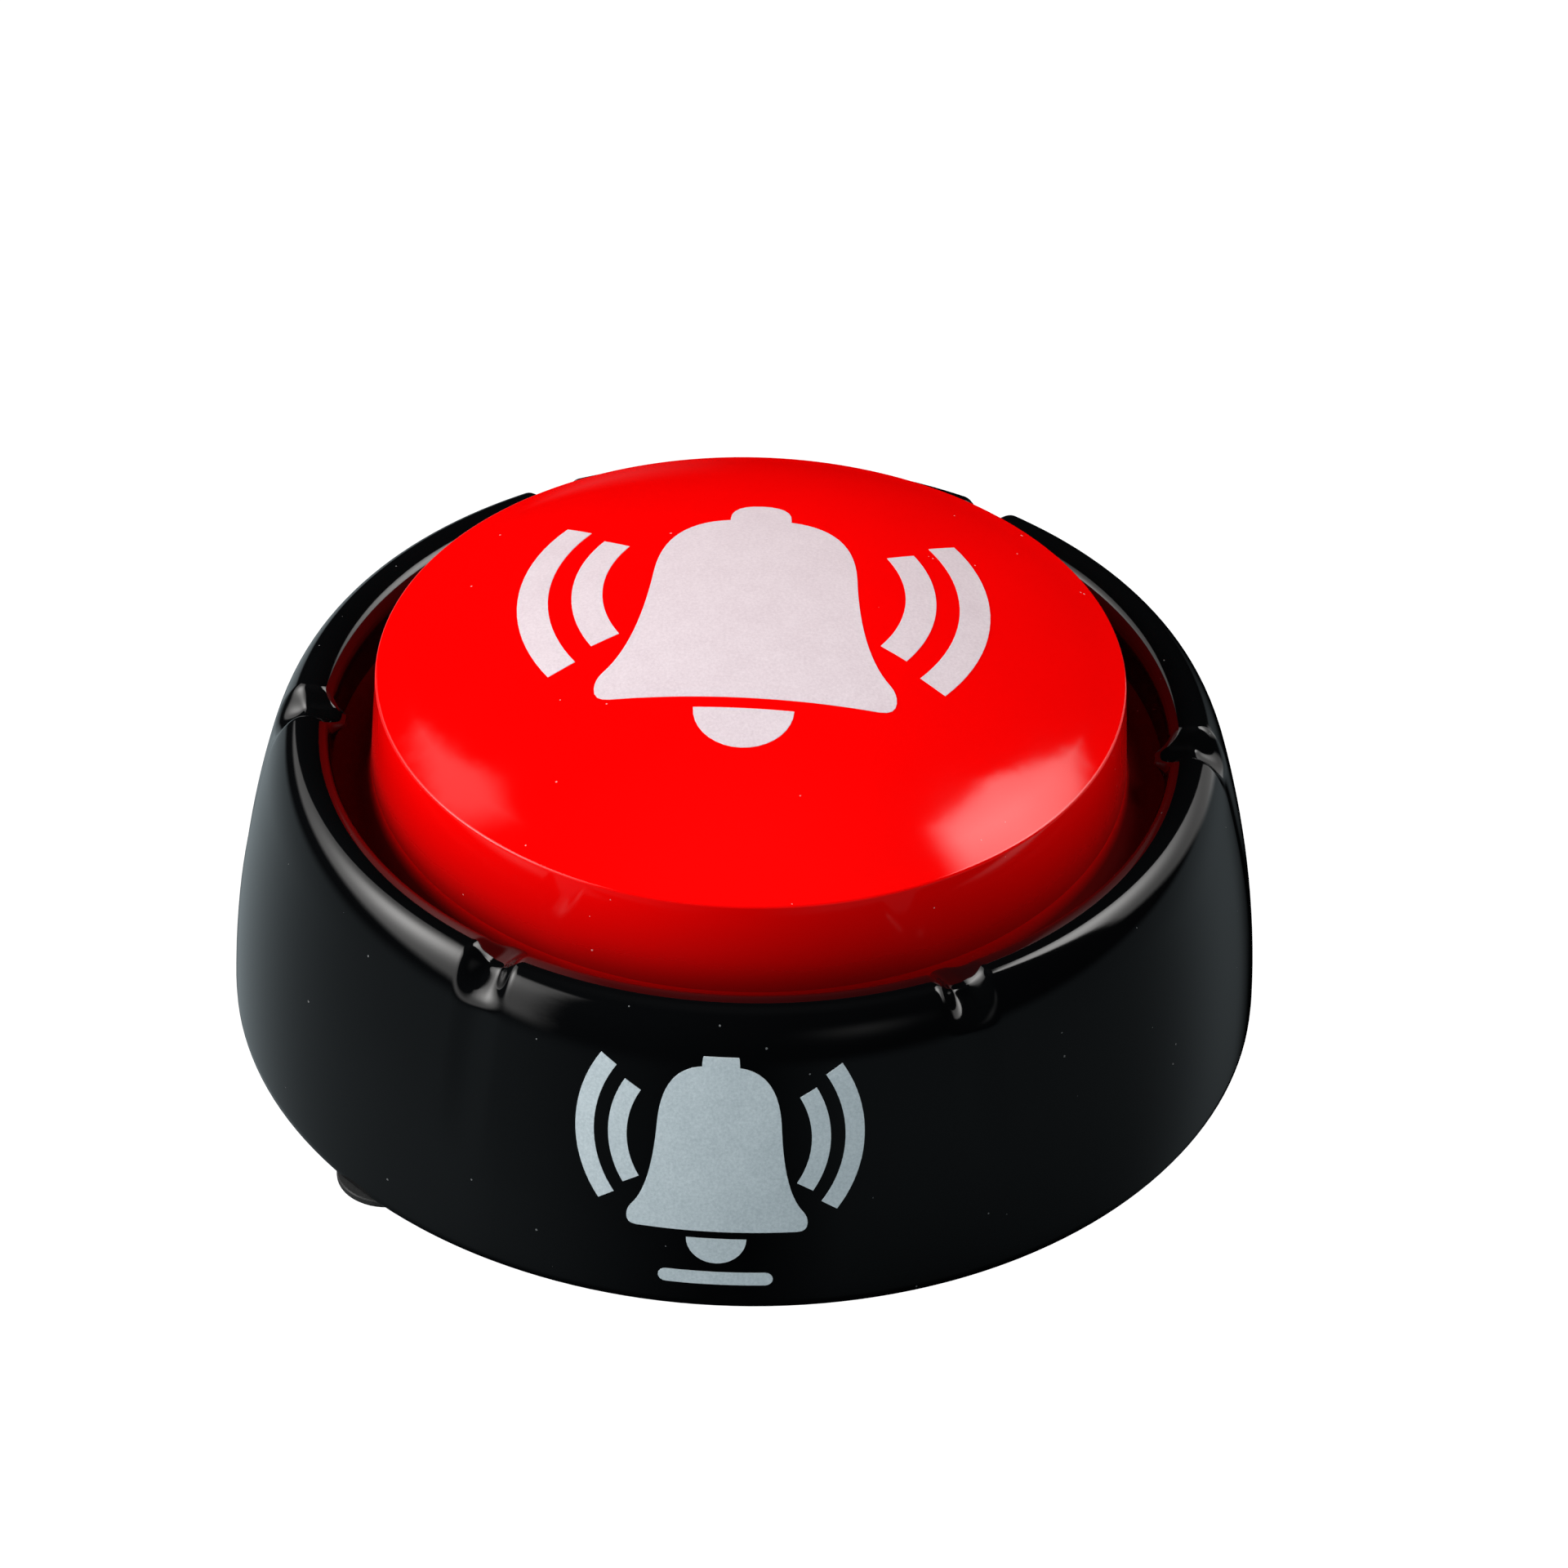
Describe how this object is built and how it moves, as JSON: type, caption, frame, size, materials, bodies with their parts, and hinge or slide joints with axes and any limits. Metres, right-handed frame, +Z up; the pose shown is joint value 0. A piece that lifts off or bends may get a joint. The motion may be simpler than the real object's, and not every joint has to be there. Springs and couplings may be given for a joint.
{
  "type": "quiz buzzer",
  "caption": "Round tabletop quiz buzzer: a sprung domed push button in a flared housing with a notched rim, a sound module, a speaker and a battery door underneath.",
  "frame": {"origin": "on the table plane under the middle of the buzzer, at the undersides of the rubber feet", "axes": "+Z up, along the button's travel axis; -Y is the front, where the base carries its printed badge; +X to the right seen from the front"},
  "size_m": [0.095, 0.095, 0.0436],
  "materials": {
    "housing_plastic": "high gloss black ABS",
    "button_plastic": "high gloss red ABS",
    "foot_rubber": "matt",
    "screw_steel": "zinc plated",
    "spring_steel": "bright drawn wire",
    "contact_nickel": "nickel plated",
    "battery_wrap": "satin printed wrap",
    "speaker_steel": "plated",
    "speaker_film": "satin film",
    "magnet_ferrite": "matt",
    "board_laminate": "green solder mask",
    "chip_epoxy": "satin potting",
    "capacitor_sleeve": "satin sleeve",
    "silicone": "matt translucent",
    "carbon_rubber": "matt",
    "wire_red": "satin",
    "wire_black": "satin"
  },
  "bodies": {
    "base": {"upper_housing": "housing_plastic", "base_plate": "housing_plastic", "foot_front_left": "foot_rubber", "foot_front_right": "foot_rubber", "foot_back_left": "foot_rubber", "foot_back_right": "foot_rubber", "case_screw_1": "screw_steel", "case_screw_2": "screw_steel", "case_screw_3": "screw_steel", "board_screw_left": "screw_steel", "board_screw_right": "screw_steel", "return_spring_1": "spring_steel", "return_spring_2": "spring_steel", "return_spring_3": "spring_steel", "battery_spring_front": "spring_steel", "battery_spring_back": "spring_steel", "contact_bridge": "contact_nickel", "contact_negative": "contact_nickel", "contact_positive": "contact_nickel", "battery_front": "battery_wrap", "battery_back": "battery_wrap", "speaker_frame": "speaker_steel", "speaker_cone": "speaker_film", "speaker_magnet": "magnet_ferrite", "circuit_board": "board_laminate", "sound_chip": "chip_epoxy", "capacitor": "capacitor_sleeve", "switch_dome": "silicone", "wire_battery_red": "wire_red", "wire_battery_black": "wire_black", "wire_speaker_red": "wire_red", "wire_speaker_black": "wire_black"},
    "button": {"button_cap": "button_plastic", "contact_pill": "carbon_rubber"},
    "door": {"battery_door": "housing_plastic", "door_screw": "screw_steel"}
  },
  "joints": [
    {"name": "button_press", "type": "slide", "parent": "base", "child": "button", "axis": [0, 0, -1], "range_m": [0, 0.004], "stiffness_N_per_m": 500, "springref_m": -0.004, "deforming": ["return_spring_1", "return_spring_2", "return_spring_3", "switch_dome"]},
    {"name": "battery_door_hinge", "type": "hinge", "parent": "base", "child": "door", "pos_m": [-0.02555, -0.017, 0.001], "axis": [0, 1, 0], "range_deg": [0, 70]}
  ]
}
